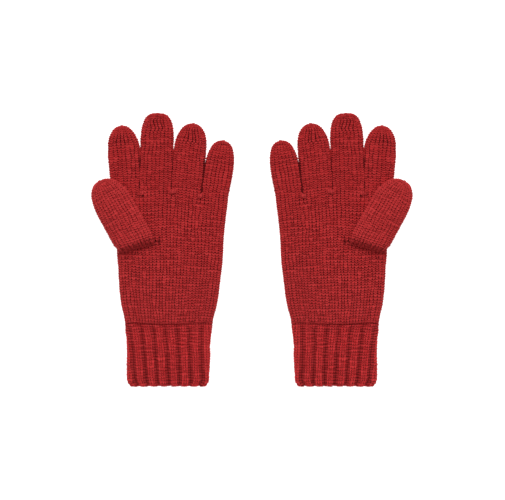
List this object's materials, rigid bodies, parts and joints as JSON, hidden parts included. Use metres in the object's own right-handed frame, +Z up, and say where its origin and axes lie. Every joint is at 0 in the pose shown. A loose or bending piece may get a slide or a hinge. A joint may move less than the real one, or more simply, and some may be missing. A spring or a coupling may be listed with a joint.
{
  "type": "pair of knitted gloves",
  "caption": "Pair of full-finger knitted gloves with ribbed cuffs, lying flat, palms up, with the thumbs folded over the palms.",
  "frame": {"origin": "on the table, under the middle of the pair: the bottom centre of its box", "axes": "+X across the pair towards the right-hand glove, +Y towards the fingertips, +Z up out of the palms"},
  "size_m": [0.2934, 0.25, 0.0233],
  "materials": {
    "plain_knit": "dark red stocking-stitch wool",
    "rib_knit": "dark red ribbed wool",
    "yarn": "dark red wool yarn"
  },
  "bodies": {
    "left_glove": {"left_hand": "plain_knit", "left_cuff_link_seam": "yarn", "left_thumb_base_seam": "yarn", "left_index_middle_crotch_stitch": "yarn", "left_middle_ring_crotch_stitch": "yarn", "left_ring_little_crotch_stitch": "yarn"},
    "left_wrist": {"left_rib_cuff": "rib_knit"},
    "left_thumb_part": {"left_thumb": "plain_knit", "left_thumb_tip_stitch": "yarn"},
    "left_index_part": {"left_index_finger": "plain_knit", "left_index_tip_stitch": "yarn"},
    "left_middle_part": {"left_middle_finger": "plain_knit", "left_middle_tip_stitch": "yarn"},
    "left_ring_part": {"left_ring_finger": "plain_knit", "left_ring_tip_stitch": "yarn"},
    "left_little_part": {"left_little_finger": "plain_knit", "left_little_tip_stitch": "yarn"},
    "right_glove": {"right_hand": "plain_knit", "right_cuff_link_seam": "yarn", "right_thumb_base_seam": "yarn", "right_index_middle_crotch_stitch": "yarn", "right_middle_ring_crotch_stitch": "yarn", "right_ring_little_crotch_stitch": "yarn"},
    "right_wrist": {"right_rib_cuff": "rib_knit"},
    "right_thumb_part": {"right_thumb": "plain_knit", "right_thumb_tip_stitch": "yarn"},
    "right_index_part": {"right_index_finger": "plain_knit", "right_index_tip_stitch": "yarn"},
    "right_middle_part": {"right_middle_finger": "plain_knit", "right_middle_tip_stitch": "yarn"},
    "right_ring_part": {"right_ring_finger": "plain_knit", "right_ring_tip_stitch": "yarn"},
    "right_little_part": {"right_little_finger": "plain_knit", "right_little_tip_stitch": "yarn"}
  },
  "joints": [
    {"name": "right_glove_lift", "type": "slide", "parent": "left_glove", "child": "right_glove", "axis": [0, 0, 1], "range_m": [0, 0.15]},
    {"name": "left_wrist_bend", "type": "hinge", "parent": "left_glove", "child": "left_wrist", "pos_m": [-0.0759, -0.06605, 0.012], "axis": [-1, 0, 0], "range_deg": [0, 80]},
    {"name": "left_thumb_fold", "type": "hinge", "parent": "left_glove", "child": "left_thumb_part", "pos_m": [-0.104, 0.0026, 0.0131], "axis": [0.9736, 0.2284, 0], "range_deg": [0, 90]},
    {"name": "left_index_curl", "type": "hinge", "parent": "left_glove", "child": "left_index_part", "pos_m": [-0.11525, 0.067, 0.012], "axis": [0.9973, 0.0732, 0], "range_deg": [0, 90]},
    {"name": "left_middle_curl", "type": "hinge", "parent": "left_glove", "child": "left_middle_part", "pos_m": [-0.08715, 0.059, 0.012], "axis": [1, -0.0087, 0], "range_deg": [0, 90]},
    {"name": "left_ring_curl", "type": "hinge", "parent": "left_glove", "child": "left_ring_part", "pos_m": [-0.06, 0.057, 0.012], "axis": [0.9962, -0.0872, 0], "range_deg": [0, 90]},
    {"name": "left_little_curl", "type": "hinge", "parent": "left_glove", "child": "left_little_part", "pos_m": [-0.0338, 0.054, 0.012], "axis": [0.9912, -0.1323, 0], "range_deg": [0, 90]},
    {"name": "right_wrist_bend", "type": "hinge", "parent": "right_glove", "child": "right_wrist", "pos_m": [0.0759, -0.06605, 0.012], "axis": [-1, 0, 0], "range_deg": [0, 80]},
    {"name": "right_thumb_fold", "type": "hinge", "parent": "right_glove", "child": "right_thumb_part", "pos_m": [0.104, 0.0026, 0.0131], "axis": [0.9736, -0.2284, 0], "range_deg": [0, 90]},
    {"name": "right_index_curl", "type": "hinge", "parent": "right_glove", "child": "right_index_part", "pos_m": [0.11525, 0.067, 0.012], "axis": [0.9973, -0.0732, 0], "range_deg": [0, 90]},
    {"name": "right_middle_curl", "type": "hinge", "parent": "right_glove", "child": "right_middle_part", "pos_m": [0.08715, 0.059, 0.012], "axis": [1, 0.0087, 0], "range_deg": [0, 90]},
    {"name": "right_ring_curl", "type": "hinge", "parent": "right_glove", "child": "right_ring_part", "pos_m": [0.06, 0.057, 0.012], "axis": [0.9962, 0.0872, 0], "range_deg": [0, 90]},
    {"name": "right_little_curl", "type": "hinge", "parent": "right_glove", "child": "right_little_part", "pos_m": [0.0338, 0.054, 0.012], "axis": [0.9912, 0.1323, 0], "range_deg": [0, 90]}
  ]
}
